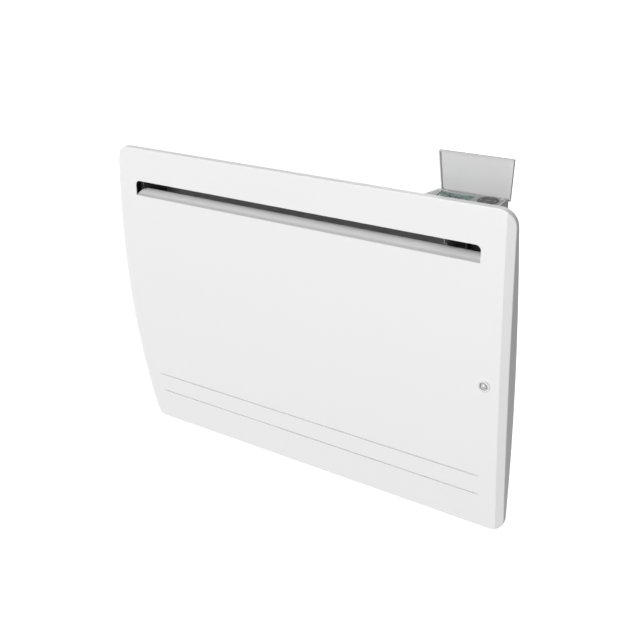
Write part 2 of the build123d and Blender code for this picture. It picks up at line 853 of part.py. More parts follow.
def control_housing():
    """Moulded tub let into the body's top: a pocket for the fascia, slots for the flap's arms."""
    collar = extrude(flared_plan(0, 0, 0, 0), fascia_top - body_top)
    collar = fillet(collar.edges().filter_by(Axis.Z), control_wall)
    collar = fillet(collar.edges().group_by(Axis.Z)[-1], control_round)
    floor = control_floor + control_wall
    housing = Pos(0, 0, body_top) * collar + tub_box(0, (control_floor, body_top))
    housing -= tub_box(control_wall, (floor, control_shoulder))
    housing -= Pos(0, 0, control_shoulder) * extrude(fascia_plan(0), fascia_height)
    for x, y in post_places():
        housing += bar_z(post_radius, x, y, (floor, board_top - board_thickness))
    reach = hinge_arm_radius + hinge_side_gap
    for side in (-1, 1):
        housing -= block(arm_limits(side, hinge_side_gap), (hinge_y - reach, lid_y),
                         (hinge_z - reach, fascia_top))
        housing -= bar_x(hinge_pin_radius, pin_limits(side), hinge_y, hinge_z)
    half = ribbon_width / 2 + side_clearance
    return housing - block((ribbon_x - ribbon_thickness, ribbon_x + ribbon_thickness),
                           (centre_y - half, centre_y + half), (control_floor, floor))


def fascia_plan(gap):
    """The fascia's pocket from above, or the fascia where there is a gap round it."""
    plan = flared_plan(fascia_edge_left, fascia_edge_right, fascia_edge_front, fascia_edge_rear)
    width = fascia_edge_left + control_flare
    front = hinge_y - hinge_arm_radius - hinge_side_gap - hinge_ear_margin
    for side in (-1, 1):
        x = pin_limits(side)[1] + side * (width / 2 - hinge_ear_margin)
        plan -= Pos(x, (front + lid_y) / 2) * Rectangle(width, lid_y - front)
    return offset(plan, -gap, kind=Kind.INTERSECTION) if gap else plan


def control_fascia():
    """Plate flush with the housing's top, with the display's opening and the keys' well."""
    plate = Pos(0, 0, control_shoulder) * extrude(fascia_plan(fascia_gap), fascia_height)
    through = (control_shoulder, fascia_top)
    plate -= display_block(0, through)
    plate -= bar_z(pad_radius + key_gap, pad_x, pad_y, through)
    plate -= bar_z(pad_radius + key_foot + key_gap, pad_x, pad_y,
                   (control_shoulder, fascia_top - fascia_skin))
    return plate


def display_block(inset, z):
    """A block over the display's area, between two heights."""
    half_x, half_y = display_width / 2 - inset, display_depth / 2 - inset
    return block((display_x - half_x, display_x + half_x), (display_y - half_y, display_y + half_y), z)


def display_window():
    """Clear window set a little below the fascia's face."""
    top = fascia_top - display_recess
    return display_block(0, (top - display_thickness, top))


def display_module():
    """Liquid crystal cell and the frame that stands it off the control board."""
    top = fascia_top - display_recess - display_thickness
    cell = display_block(display_frame / 2, (top - display_cell, top))
    frame = display_block(display_frame, (board_top, top - display_cell))
    return cell + frame - display_block(3 * display_frame, (board_top, top - display_cell))


def post_places():
    """The housing's four board posts."""
    left = tub_left + control_wall + post_inset
    right = tub_right - control_wall - post_inset
    front = control_front + tub_inset + control_wall + post_inset
    rear = control_rear - tub_inset - control_wall - post_inset
    return [(x, y) for x in (left, right) for y in (front, rear)]


def control_board():
    """The board that carries the display and the key switches."""
    return tub_box(control_wall + side_clearance, (board_top - board_thickness, board_top))


def key_place(name):
    """A key's switch: four round the pad, and one in its middle."""
    ring = (ok_radius + pad_radius) / 2
    steps = {"up": (0, ring), "down": (0, -ring), "left": (-ring, 0), "right": (ring, 0)}
    x, y = steps.get(name, (0, 0))
    return (pad_x + x, pad_y + y)


def key_switches():
    """Tactile switches on the control board, one under each key."""
    switches = []
    for name in ("up", "down", "left", "right", "ok"):
        x, y = key_place(name)
        half = tact_size / 2
        body = block((x - half, x + half), (y - half, y + half),
                     (board_top, board_top + tact_height))
        switches.append(body + bar_z(tact_plunger_radius, x, y, (board_top, tact_top)))
    return Compound(switches)


def key_stem(name, top):
    """The stem under a key, which stops one travel above its switch."""
    x, y = key_place(name)
    return bar_z(key_stem_radius, x, y, (tact_top + key_travel, top))


def ring_quarter(inner, outer):
    """A quarter of a ring that faces right, with straight gaps at its two ends."""
    reach = 2 * outer
    wedge = make_face(Polyline((0, 0), (reach, reach), (reach, -reach), close=True))
    gap = Rectangle(2 * reach, 2 * key_gap)
    return (Circle(outer) - Circle(inner)) & (wedge - Rot(0, 0, 45) * gap - Rot(0, 0, -45) * gap)


def ring_key(name):
    """A quarter of the key ring, its foot under the fascia and its stem over a switch."""
    turn = {"right": 0, "up": 90, "left": 180, "down": 270}[name]
    low = key_under - key_foot_thickness
    cap = extrude(ring_quarter(ok_radius + key_gap, pad_radius), key_top - low)
    cap = fillet(cap.edges().group_by(Axis.Z)[-1], key_round)
    inner = ok_radius + key_foot + 2 * key_gap
    foot = extrude(ring_quarter(inner, pad_radius + key_foot), key_foot_thickness)
    key = Pos(pad_x, pad_y, low) * Rot(0, 0, turn) * (cap + foot)
    return key + key_stem(name, low)


def ok_key():
    """The round centre key, its foot under the ring."""
    low = key_under - 2 * key_foot_thickness
    key = bar_z(ok_radius, pad_x, pad_y, (low - key_foot_thickness, key_top))
    key = fillet(key.edges().group_by(Axis.Z)[-1], 2 * key_round)
    key += bar_z(ok_radius + key_foot, pad_x, pad_y, (low - key_foot_thickness, low))
    return key + key_stem("ok", low)


def flap_face():
    """The flap seen from the front when it stands open: wider at its free edge."""
    low, high = hinge_z - hinge_arm_radius, hinge_z + flap_length
    right = [(flap_half(0), low), (flap_half(flap_length), high)]
    left = [(-x, z) for x, z in reversed(right)]
    face = make_face(Polyline(*[(flap_centre + x, z) for x, z in right + left], close=True))
    return fillet(face.vertices().group_by(Axis.Y)[-1], flap_corner)


def control_flap():
    """Lid over the controls, drawn standing open: a shallow tray hinged at its lower edge."""
    tray = facing_front(flap_face(), lid_y + flap_wall, flap_rim + flap_wall)
    tray = fillet(tray.edges().group_by(Axis.Y)[-1], flap_edge_round)
    tray -= facing_front(offset(flap_face(), -flap_wall), lid_y, flap_rim)
    low = hinge_z - hinge_arm_radius
    tray -= block((flap_centre - flap_front_half, flap_centre + flap_front_half),
                  (lid_y, lid_y - flap_rim), (low, fascia_top + flap_seat_gap))
    for side in (-1, 1):
        limits = arm_limits(side, 0)
        tray += bar_x(hinge_arm_radius, limits, hinge_y, hinge_z)
        tray += block(limits, (hinge_y, lid_y), (low, hinge_z + hinge_arm_radius))
        tray -= bar_x(hinge_pin_radius + hinge_pin_fit, limits, hinge_y, hinge_z)
    return tray


def flap_hinge_pins():
    """Steel pins pressed into the housing beside the arms, on which the flap turns."""
    pins = []
    for side in (-1, 1):
        pins.append(bar_x(hinge_pin_radius, pin_limits(side), hinge_y, hinge_z))
    return Compound(pins)


# ---------------------------------------------------------------- presence sensor
def sensor_bezel():
    """Trim ring on the face with a tube through the cover."""
    face = face_y(sensor_height) - sensor_seat_gap
    end = face + sensor_tube_length
    ring = bar_y(sensor_bezel_radius, sensor_x, (face - sensor_bezel_height, face), sensor_height)
    ring = fillet(ring.edges().group_by(Axis.Y)[0], sensor_bezel_height / 2)
    ring += bar_y(sensor_tube_radius, sensor_x, (face, end), sensor_height)
    return ring - bar_y(sensor_tube_radius - sensor_tube_wall, sensor_x,
                        (face - sensor_bezel_height, end), sensor_height)


def sensor_lens():
    """Domed lens seated in the ring's tube."""
    base = face_y(sensor_height) + sensor_dome_setback
    rear = base + sensor_bezel_height
    radius = sensor_tube_radius - sensor_tube_wall - sensor_fit
    lens = bar_y(radius, sensor_x, (base, rear), sensor_height)
    dome = Pos(sensor_x, base, sensor_height) * Sphere(sensor_dome_radius)
    return lens + (dome & bar_y(radius, sensor_x, (base - radius, rear), sensor_height))


def holder_box(inset, y):
    half_x, half_z = holder_width / 2 - inset, holder_height / 2 - inset
    return block((sensor_x - half_x, sensor_x + half_x), y,
                 (sensor_height - half_z, sensor_height + half_z))


def holder_rear():
    return face_y(sensor_height) + cover_sheet + holder_depth


def sensor_holder():
    """Moulded cup bonded inside the cover, which holds the sensor's board."""
    front = holder_rear() - holder_depth + side_clearance
    floor = holder_rear() - holder_wall
    cup = holder_box(0, (front, holder_rear())) - holder_box(holder_wall, (front, floor))
    return cup - bar_y(detector_radius + sensor_fit, sensor_x, (floor, holder_rear()),
                       sensor_height)


def sensor_board():
    """Small board behind the holder, with the detector can standing into it."""
    rear = holder_rear()
    board = holder_box(0, (rear, rear + board_thickness))
    can = (rear - holder_wall - detector_height, rear)
    return board + bar_y(detector_radius, sensor_x, can, sensor_height)


# ---------------------------------------------------------------- electronics compartment
def power_board():
    """Mains board on the partition, with its capacitor, fuse and connector."""
    half = power_board_width / 2
    board = block((power_board_x, power_board_face), (centre_y - half, centre_y + half),
                  (power_board_low, power_board_top))
    board += bar_x(capacitor_radius, (power_board_face, power_board_face + capacitor_height),
                   centre_y + half / 3, power_board_low + capacitor_lift)
    fuse_z = power_board_low + fuse_lift
    board += bar_z(fuse_radius, power_board_face + fuse_radius - fuse_seat, centre_y - half / 2,
                   (fuse_z - fuse_length / 2, fuse_z + fuse_length / 2))
    edge = half - connector_margin
    board += block((power_board_face, power_board_face + connector_height),
                   (centre_y - edge, centre_y + edge),
                   (connector_z - connector_depth / 2, connector_z + connector_depth / 2))
    return board


def power_relay():
    """Relay on the mains board that switches the element."""
    z = power_board_low + relay_lift
    return block((power_board_face, power_board_face + relay_height),
                 (centre_y - relay_width / 2, centre_y + relay_width / 2),
                 (z - relay_length / 2, z + relay_length / 2))


def board_standoffs():
    """Nylon pillars between the partition and the mains board."""
    reach = power_board_width / 2 - power_board_inset
    levels = (power_board_low + power_board_inset, power_board_top - power_board_inset)
    return Compound([bar_x(standoff_radius, (partition_face, power_board_x), y, z)
                     for y in (centre_y - reach, centre_y + reach) for z in levels])


def pole_places():
    """The terminal block's poles along Y."""
    pitch = terminal_width / terminal_poles
    reach = pitch * (terminal_poles - 1) / 2
    return spread(centre_y - reach, centre_y + reach, terminal_poles)


def terminal_block():
    """Block where the supply lands: a screw and a wire entry for each pole."""
    face = partition_face + terminal_depth
    low, high = terminal_z - terminal_height / 2, terminal_z + terminal_height / 2
    body = block((partition_face, face),
                 (centre_y - terminal_width / 2, centre_y + terminal_width / 2), (low, high))
    for y in pole_places():
        body -= bar_x(terminal_screw_radius, (face - terminal_screw_depth, face), y, terminal_z)
        body -= bar_z(terminal_entry_radius, partition_face + terminal_depth / 3, y,
                      (low, low + terminal_entry_depth))
    return body


def cable_gland():
    """Cable entry in the body's underside: a flanged thread and a domed clamping nut."""
    hex_low = body_bottom - gland_hex_height
    dome_low = hex_low - gland_dome_height
    top = body_bottom + body_sheet + gland_thread_reach
    gland = bar_z(gland_thread_radius, gland_x, centre_y, (hex_low, top))
    gland += Pos(gland_x, centre_y, hex_low) * extrude(RegularPolygon(gland_hex_radius, 6),
                                                       gland_hex_height)
    dome = bar_z(gland_dome_radius, gland_x, centre_y, (dome_low, hex_low))
    gland += fillet(dome.edges().group_by(Axis.Z)[0], gland_dome_height / 2)
    return gland - bar_z(gland_bore_radius, gland_x, centre_y, (dome_low, top))


def gland_nut():
    """Lock nut of the cable entry, inside the body."""
    nut = extrude(RegularPolygon(gland_hex_radius, 6) - Circle(gland_thread_radius),
                  gland_nut_height)
    return Pos(gland_x, centre_y, body_bottom + body_sheet) * nut


def probe_cage():
    """Slotted cage under the body that shields the room temperature probe."""
    low = body_bottom - probe_length
    top = body_bottom + 3 * body_sheet
    cage = bar_z(probe_radius, probe_x, probe_y, (low, top))
    cage += bar_z(probe_radius + probe_collar, probe_x, probe_y,
                  (body_bottom - probe_collar, body_bottom))
    cage -= bar_z(probe_radius - probe_wall, probe_x, probe_y, (low + probe_wall, top))
    half, reach = probe_slot_width / 2, 2 * probe_radius
    slot = block((-reach, reach), (-half, half),
                 (low + 3 * probe_wall, body_bottom - 3 * probe_wall))
    return cage - Pos(probe_x, probe_y) * slot - Pos(probe_x, probe_y) * Rot(0, 0, 90) * slot


def temperature_probe():
    """Sensing bead on its two wires, inside the cage."""
    bead_z = body_bottom - probe_length / 2
    probe = Pos(probe_x, probe_y, bead_z) * Sphere(probe_bead_radius)
    for side in (-1, 1):
        x = probe_x + side * probe_leg_gap / 2
        probe += bar_z(probe_leg_radius, x, probe_y, (bead_z, body_bottom + body_bend))
    return probe


def lead(*points):
    """An insulated wire along a route of straight runs and round bends."""
    route = FilletPolyline(*points, radius=lead_bend)
    start = Plane(origin=route @ 0, z_dir=route % 0)
    return sweep(start * Circle(lead_radius), path=route)


def element_leads():
    """Wires from the mains board to the limiter and to the heating rod's two studs."""
    face = power_board_face + connector_height
    tip = stud_x + stud_length
    inner = tip + 3 * lead_bend
    outer = inner + 2 * lead_bend
    blade = partition_x + limiter_body_height + blade_length
    front, rear = blade_places()
    low, high = rod_levels
    side = element_y + rod_spacing / 2
    return Compound([
        lead((face, front, connector_z), (inner, front, connector_z),
             (inner, front, limiter_z), (blade, front, limiter_z)),
        lead((blade, rear, limiter_z), (inner, rear, limiter_z),
             (inner, element_y, high), (tip, element_y, high)),
        lead((face, side, connector_z), (outer, side, connector_z),
             (outer, element_y, low), (tip, element_y, low)),
    ])


def supply_leads():
    """Wires from the terminal block up to the mains board's connector."""
    face = power_board_face + connector_height
    start_x = partition_face + 2 * terminal_depth / 3
    top = terminal_z + terminal_height / 2
    out = partition_x + compartment_width - 4 * lead_bend
    leads = []
    for y in pole_places()[1:]:
        end_y = y + 2 * lead_bend
        leads.append(lead((start_x, y, top), (start_x, y, top + 3 * lead_bend),
                          (out, end_y, top + 8 * lead_bend), (out, end_y, connector_z),
                          (face, end_y, connector_z)))
    return Compound(leads)


def control_leads():
    """Flat cable between the two boards, and the presence sensor's wire."""
    x = power_board_x + board_thickness / 2
    end = board_top - board_thickness
    rise = (end - power_board_top) / 4
    route = FilletPolyline((x, power_board_top), (x, power_board_top + rise),
                           (ribbon_x, power_board_top + 2 * rise), (ribbon_x, end),
                           radius=ribbon_bend)
    ribbon = facing_front(trace(route, ribbon_thickness), centre_y + ribbon_width / 2, ribbon_width)
    rear = holder_rear() + board_thickness
    turn = (rear + rim_y) / 2
    start_x = sensor_x - holder_width / 3
    side = inner_half - 2 * lead_bend
    low = sensor_height + lead_bend
    high = connector_z + 16 * lead_bend
    wire = lead((start_x, rear, low), (start_x, turn, low), (side, turn, low),
                (side, centre_y, high), (power_board_face, centre_y, high))
    return Compound([ribbon, wire])


def switch_box(clearance, x):
    half_y = switch_width / 2 - clearance
    half_z = switch_length / 2 - clearance
    return block(x, (switch_y - half_y, switch_y + half_y), (switch_z - half_z, switch_z + half_z))


def switch_opening():
    return switch_box(0, (inner_half - body_sheet, body_half + body_sheet))


def rocker_pins(radius):
    """The rocker's pivot, which turns in the two sides of the switch's body."""
    reach = switch_width / 2 - switch_fit - switch_wall + rocker_pin_length
    return bar_y(radius, rocker_x, (switch_y - reach, switch_y + reach), switch_z)


def switch_housing():
    """Body of the mains switch, snapped into the right end plate."""
    deep = body_half - switch_depth
    face = body_half + switch_bezel_thickness
    rim = switch_box(-switch_bezel, (body_half, face))
    body = switch_box(switch_fit, (deep, body_half))
    body += fillet(rim.edges().group_by(Axis.X)[-1], switch_bezel_thickness / 3)
    body -= switch_box(switch_fit + switch_wall, (deep + switch_wall, face))
    return body - rocker_pins(rocker_pin_radius + rocker_pin_fit)


def switch_rocker():
    """Rocker of the mains switch, tipped to its ON side, on two short pins."""
    half_y = switch_width / 2 - switch_fit - switch_wall - rocker_gap
    half_z = switch_length / 2 - switch_fit - switch_wall - rocker_end_gap
    side = [(0, -half_z + rocker_taper), (rocker_crown, -half_z), (rocker_waist, 0),
            (rocker_crown, half_z), (0, half_z - rocker_taper)]
    section = make_face(Polyline(*side, close=True)) + Circle(rocker_barrel_radius)
    rocker = facing_front(section, half_y, 2 * half_y)
    rocker = Pos(rocker_x, switch_y, switch_z) * Rot(0, rocker_tilt, 0) * rocker
    return rocker + rocker_pins(rocker_pin_radius)


# ---------------------------------------------------------------- wall bracket
def hook(x, z):
    """Upturned hook on a bracket cheek; the body's sheet sits in its notch."""
    notch = inner_back_y - hook_clearance
    tab = block(x, (notch - hook_reach, back_y), (z - hook_thickness, z))
    return tab + block(x, (notch - hook_reach, notch), (z - hook_thickness, z + hook_nose))


def latch_ear(x):
    """Forward-set ear on the bracket's top rail, journal for one latch."""
    width = (x - latch_ear_width / 2, x + latch_ear_width / 2)
    shelf_z = latch_z - latch_ear_width / 2
    ear = block(width, (ear_front, -bracket_sheet), (shelf_z, shelf_z + bracket_sheet))
    ear += block(width, (ear_front, ear_rear), (shelf_z, latch_z + latch_ear_top))
    return ear - bar_y(latch_stem_radius + latch_stem_fit, x, (ear_front, ear_rear), latch_z)


def wall_bracket():
    """Pressed steel frame screwed to the wall; the heater hooks over it."""
    plate = Pos(0, (bracket_top + bracket_low) / 2) * RectangleRounded(
        2 * bracket_half, bracket_top - bracket_low, bracket_corner)
    window_top = bracket_top - bracket_top_rail
    window_low = bracket_low + bracket_bottom_rail
    plate -= Pos(0, (window_top + window_low) / 2) * RectangleRounded(
        2 * (bracket_half - bracket_upright), window_top - window_low, bracket_corner)
    for x in (-screw_spacing_x / 2, screw_spacing_x / 2):
        for z in (-screw_spacing_z / 2, screw_spacing_z / 2):
            plate -= Pos(x, z) * Circle(screw_hole_radius)
    frame = facing_front(plate, 0, bracket_sheet)
    for side in (-1, 1):
        cheek = (side * bracket_half, side * (bracket_half - bracket_sheet))
        frame += block(cheek, (back_y, -bracket_sheet),
                       (bracket_low + bracket_corner, bracket_top - bracket_corner))
        for z in hook_levels:
            frame += hook(cheek, z)
        frame += latch_ear(side * latch_x)
    return frame


def bracket_latch(x):
    """Quarter-turn latch, drawn locked: its head lies across the slot in the body's back."""
    head_rear = inner_back_y - latch_head_gap
    head_front = head_rear - latch_head_thickness
    tail = ear_rear + 2 * bracket_sheet
    long, wide = latch_head_length / 2, latch_head_width / 2
    latch = bar_y(latch_stem_radius, x, (head_front, tail), latch_z)
    latch += block((x - wide, x + wide), (head_front, head_rear), (latch_z - long, latch_z + long))
    depth = (back_y + side_clearance, ear_front - side_clearance / 2)
    half = latch_lever_width / 2
    tip = latch_z + latch_lever_length - half
    latch += bar_y(half, x, depth, latch_z) + bar_y(half, x, depth, tip)
    latch += block((x - half, x + half), depth, (latch_z, tip))
    return latch + bar_y(latch_collar, x, (ear_rear + side_clearance / 2, tail), latch_z)


def wall_bumpers():
    """Moulded feet that keep the body's lower edge off the wall."""
    foot = Rot(90, 0, 0) * Cone(bumper_tip_radius, bumper_radius, wall_gap)
    return Compound([Pos(x, back_y / 2, bumper_z) * foot for x in (-bumper_x, bumper_x)])


# ---------------------------------------------------------------- write the parts
parts = {
    "front_cover": front_cover(),
    "rear_body": rear_body(),
    "end_plate_left": end_plate(-1),
    "end_plate_right": end_plate(1),
    "cover_screws": cover_screws(),
    "partition_plate": partition_plate(),
    "rear_reflector": rear_reflector(),
    "front_shield": front_shield(),
    "reflector_spacers": reflector_spacers(),
    "heating_element": heating_element(),
    "element_rod": element_rod(),
    "element_studs": element_studs(),
    "element_bushes": element_bushes(),
    "element_carrier": element_carrier(),
    "thermal_limiter": thermal_limiter(),
    "control_housing": control_housing(),
    "control_fascia": control_fascia(),
    "display_window": display_window(),
    "display_module": display_module(),
    "control_board": control_board(),
    "key_switches": key_switches(),
    "key_up": ring_key("up"),
    "key_down": ring_key("down"),
    "key_left": ring_key("left"),
    "key_right": ring_key("right"),
    "key_ok": ok_key(),
    "control_flap": control_flap(),
    "flap_hinge_pins": flap_hinge_pins(),
    "sensor_bezel": sensor_bezel(),
    "sensor_lens": sensor_lens(),
    "sensor_holder": sensor_holder(),
    "sensor_board": sensor_board(),
    "power_board": power_board(),
    "power_relay": power_relay(),
    "board_standoffs": board_standoffs(),
    "terminal_block": terminal_block(),
    "cable_gland": cable_gland(),
    "gland_nut": gland_nut(),
    "probe_cage": probe_cage(),
    "temperature_probe": temperature_probe(),
    "element_leads": element_leads(),
    "supply_leads": supply_leads(),
    "control_leads": control_leads(),
    "switch_housing": switch_housing(),
    "switch_rocker": switch_rocker(),
    "wall_bracket": wall_bracket(),
    "bracket_latch_left": bracket_latch(-latch_x),
    "bracket_latch_right": bracket_latch(latch_x),
    "wall_bumpers": wall_bumpers(),
}

os.makedirs("parts", exist_ok=True)
for name, part in parts.items():
    export_step(part, f"parts/{name}.step")
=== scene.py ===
import math

import bpy
import bmesh
from mathutils import Matrix, Vector
from mathutils.bvhtree import BVHTree


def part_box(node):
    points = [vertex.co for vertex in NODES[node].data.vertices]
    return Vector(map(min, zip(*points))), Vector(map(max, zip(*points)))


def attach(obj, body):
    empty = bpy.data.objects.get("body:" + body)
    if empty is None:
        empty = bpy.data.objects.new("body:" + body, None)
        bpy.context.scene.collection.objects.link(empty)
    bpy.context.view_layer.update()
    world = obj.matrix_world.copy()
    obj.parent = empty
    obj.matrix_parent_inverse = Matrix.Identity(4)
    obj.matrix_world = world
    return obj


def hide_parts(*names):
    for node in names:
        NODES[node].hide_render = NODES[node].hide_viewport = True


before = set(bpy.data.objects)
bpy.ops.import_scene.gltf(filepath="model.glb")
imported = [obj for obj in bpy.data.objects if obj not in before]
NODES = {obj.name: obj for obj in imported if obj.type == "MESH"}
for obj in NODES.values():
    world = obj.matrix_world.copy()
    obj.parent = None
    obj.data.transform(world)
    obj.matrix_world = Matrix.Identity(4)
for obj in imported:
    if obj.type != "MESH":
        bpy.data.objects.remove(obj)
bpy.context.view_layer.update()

# Electric wall panel heater, dressed for its photograph: painted sheet steel, moulded grey
# plastic round the controls, and the marks printed on the display, the keys and the switch.
#
# X runs to the right along the wall, Y into the wall, Z is up. Places are in metres, and in
# millimetres where MM turns them into metres. Tones run from 0 to 255, as on a screen.
MM = 0.001

# ------------------------------------------------------------------ camera
# Solved from the panel's outline, slot and grooves in the photograph.
PHOTO_WIDTH = 640
FOCAL_PIXELS = 949.41
SENSOR_WIDTH = 36.0
CAMERA_AT = (684.7, -1021.9, 616.05)     # millimetres
TURN, TILT, ROLL = (math.radians(v) for v in (34.95, 27.388, 3.42))
CLIP = (0.01, 100.0)


def make_camera():
    """A camera that looks down and to the left, rolled a little about its axis."""
    right = Vector((math.cos(TURN), math.sin(TURN), 0))
    ahead = Vector((-math.sin(TURN) * math.cos(TILT), math.cos(TURN) * math.cos(TILT),
                    -math.sin(TILT)))
    down = ahead.cross(right)
    x = math.cos(ROLL) * right + math.sin(ROLL) * down
    y = math.sin(ROLL) * right - math.cos(ROLL) * down
    data = bpy.data.cameras.new("camera")
    data.sensor_width = SENSOR_WIDTH
    data.lens = FOCAL_PIXELS / PHOTO_WIDTH * SENSOR_WIDTH
    data.clip_start, data.clip_end = CLIP
    camera = bpy.data.objects.new("camera", data)
    bpy.context.scene.collection.objects.link(camera)
    turn = Matrix((x, y, -ahead)).transposed().to_4x4()
    camera.matrix_world = Matrix.Translation(Vector(CAMERA_AT) * MM) @ turn
    bpy.context.scene.camera = camera


# ------------------------------------------------------------------ nodes
def to_linear(tone):
    """The light that a tone stands for."""
    v = tone / 255
    return v / 12.92 if v <= 0.04045 else ((v + 0.055) / 1.055) ** 2.4


def rgba(colour):
    """A grey tone, or three tones, as a colour for a node."""
    tones = (colour, colour, colour) if isinstance(colour, (int, float)) else colour
    return (*[to_linear(v) for v in tones], 1.0)


def put(socket, value):
    """Gives an input a constant, or joins another node's output to it."""
    if isinstance(value, bpy.types.NodeSocket):
        socket.id_data.links.new(value, socket)
    else:
        socket.default_value = value


def node_maker(tree):
    """A function that makes the tree's nodes and sets their inputs by name."""
    def make(kind, **inputs):
        node = tree.nodes.new(kind)
        for key, value in inputs.items():
            put(node.inputs[key.replace("_", " ")], value)
        return node
    return make


def blank_material(name):
    """A material with no nodes yet, and the function that makes them."""
    material = bpy.data.materials.new(name)
    material.use_nodes = True
    material.node_tree.nodes.clear()
    return material, node_maker(material.node_tree)


def maths(make, operation, *values):
    """One step of arithmetic on constants and nodes' outputs."""
    node = make("ShaderNodeMath")
    node.operation = operation
    for socket, value in zip(node.inputs, values):
        put(socket, value)
    return node.outputs["Value"]


def ranged(make, value, before, after):
    """A value carried from one span to another, and held at the span's ends."""
    node = make("ShaderNodeMapRange", Value=value)
    for name, end in zip(("From Min", "From Max", "To Min", "To Max"), (*before, *after)):
        put(node.inputs[name], end)
    return node.outputs["Result"]


def within(make, place, low, high):
    """1 where a place lies inside the box from low to high, and 0 outside it."""
    split = make("ShaderNodeSeparateXYZ", Vector=place)
    x, y, z = (maths(make, "COMPARE", split.outputs[axis], (a + b) / 2, (b - a) / 2)
               for axis, a, b in zip("XYZ", low, high))
    return maths(make, "MULTIPLY", maths(make, "MULTIPLY", x, y), z)


def along(make, place, axis, start, end):
    """0 at one place on an axis, rising evenly to 1 at another."""
    split = make("ShaderNodeSeparateXYZ", Vector=place)
    return ranged(make, split.outputs[axis], (start, end), (0.0, 1.0))


MIX_SOCKETS = (0, 6, 7)     # a colour mix's factor and its two colours, among its unused inputs
MIX_RESULT = 2


def tinted(make, amount, under, colour):
    """The colour under, turned to another colour by amount."""
    mix = make("ShaderNodeMix")
    mix.data_type = "RGBA"
    for socket, value in zip(MIX_SOCKETS, (amount, under, rgba(colour))):
        put(mix.inputs[socket], value)
    return mix.outputs[MIX_RESULT]


def flecked(make, place, under, scale, reach, strength, colour):
    """Soft spots of another colour, strongest at their middles and gone at reach."""
    spots = make("ShaderNodeTexVoronoi", Vector=place, Scale=scale)
    amount = ranged(make, spots.outputs["Distance"], (0.0, reach), (strength, 0.0))
    return tinted(make, amount, under, colour)


def toned(make, place, under, low, high, colour, *fade):
    """Another colour inside a box, all over it or fading in along an axis."""
    amount = within(make, place, low, high)
    if fade:
        amount = maths(make, "MULTIPLY", amount, along(make, place, *fade))
    return tinted(make, amount, under, colour)


def blended(make, amount, first, second):
    """The first shader, turned to the second by amount."""
    node = make("ShaderNodeMixShader", Fac=amount)
    put(node.inputs[1], first.outputs[0])
    put(node.inputs[2], second.outputs[0])
    return node.outputs["Shader"]


def ramped(make, amount, start, end, span=(0.0, 1.0)):
    """A colour that runs from start to end as amount goes through the span."""
    node = make("ShaderNodeValToRGB", Fac=amount)
    for stop, place, colour in zip(node.color_ramp.elements, span, (start, end)):
        stop.position = place
        stop.color = colour
    return node.outputs["Color"]


# ------------------------------------------------------------------ materials
NOISE_SPAN = (0.3, 0.7)     # where most of a noise's values lie
SMOOTHEST = 0.02
COAT_ROUGH = 0.25
PANE_ROUGH = 0.12
PANE_IOR = 1.4
SMEAR_SCALE = 90.0
SMEAR_LIFT = 4              # tones between a smear and the clean pane


def surface(name, colour, rough=0.45, metal=0.0, spread=0.04, rough_spread=0.06, cloud=14.0,
            grain=900.0, bump=0.05, depth=0.00003, stretch=(1, 1, 1), specular=0.5, coat=0.0,
            flecks=None, zones=()):
    """A Principled surface with cloudy colour, uneven roughness and a fine grain of its own."""
    material, make = blank_material(name)
    own = make("ShaderNodeTexCoord").outputs["Object"]
    place = make("ShaderNodeMapping", Vector=own, Scale=stretch).outputs["Vector"]
    clouds = make("ShaderNodeTexNoise", Vector=place, Scale=cloud, Detail=3.0).outputs["Fac"]
    fine = make("ShaderNodeTexNoise", Vector=place, Scale=grain, Detail=2.0).outputs["Fac"]
    mean = maths(make, "MULTIPLY", maths(make, "ADD", clouds, fine), 0.5)
    base = rgba(colour)[:3]
    darker = (*[v * (1 - spread) for v in base], 1)
    lighter = (*[min(1.0, v * (1 + spread)) for v in base], 1)
    paint = ramped(make, mean, darker, lighter, NOISE_SPAN)
    if flecks:
        paint = flecked(make, place, paint, *flecks)
    for zone in zones:
        paint = toned(make, own, paint, *zone)
    rough_span = (max(SMOOTHEST, rough - rough_spread), min(1.0, rough + rough_spread))
    shader = make("ShaderNodeBsdfPrincipled", Base_Color=paint, Metallic=metal,
                  Roughness=ranged(make, clouds, (0.0, 1.0), rough_span),
                  Specular_IOR_Level=specular, Coat_Weight=coat, Coat_Roughness=COAT_ROUGH)
    if bump:
        relief = make("ShaderNodeBump", Height=fine, Strength=bump, Distance=depth)
        put(shader.inputs["Normal"], relief.outputs["Normal"])
    make("ShaderNodeOutputMaterial", Surface=shader.outputs["BSDF"])
    return material


def window_glass(name, tint, gloss):
    """Thin clear plastic: light passes straight through, and its outside shines at a low angle."""
    material, make = blank_material(name)
    place = make("ShaderNodeTexCoord").outputs["Object"]
    smears = make("ShaderNodeTexNoise", Vector=place, Scale=SMEAR_SCALE, Detail=3.0)
    clean = [min(255, v + SMEAR_LIFT) for v in tint]
    colour = ramped(make, smears.outputs["Fac"], rgba(tint), rgba(clean))
    clear = make("ShaderNodeBsdfTransparent", Color=colour)
    shine = make("ShaderNodeBsdfGlossy", Roughness=PANE_ROUGH)
    low_angle = make("ShaderNodeFresnel", IOR=PANE_IOR).outputs["Fac"]
    inside = make("ShaderNodeNewGeometry").outputs["Backfacing"]
    amount = maths(make, "MULTIPLY", low_angle, ranged(make, inside, (0.0, 1.0), (gloss, 0.0)))
    make("ShaderNodeOutputMaterial", Surface=blended(make, amount, clear, shine))
    return material


# ------------------------------------------------------------------ zones of painted light and shade
# A zone is a box from its low to its high corner and the tone of painted light or shade inside
# it. Where the tone fades in, an axis follows, with the places of no tone and of full tone.
# Tones of painted shade: on the body's inner faces, and where the cover's rim and the body's flange
# lie together.
INSIDE_SHADE_TONE = 82
SHADED = 46
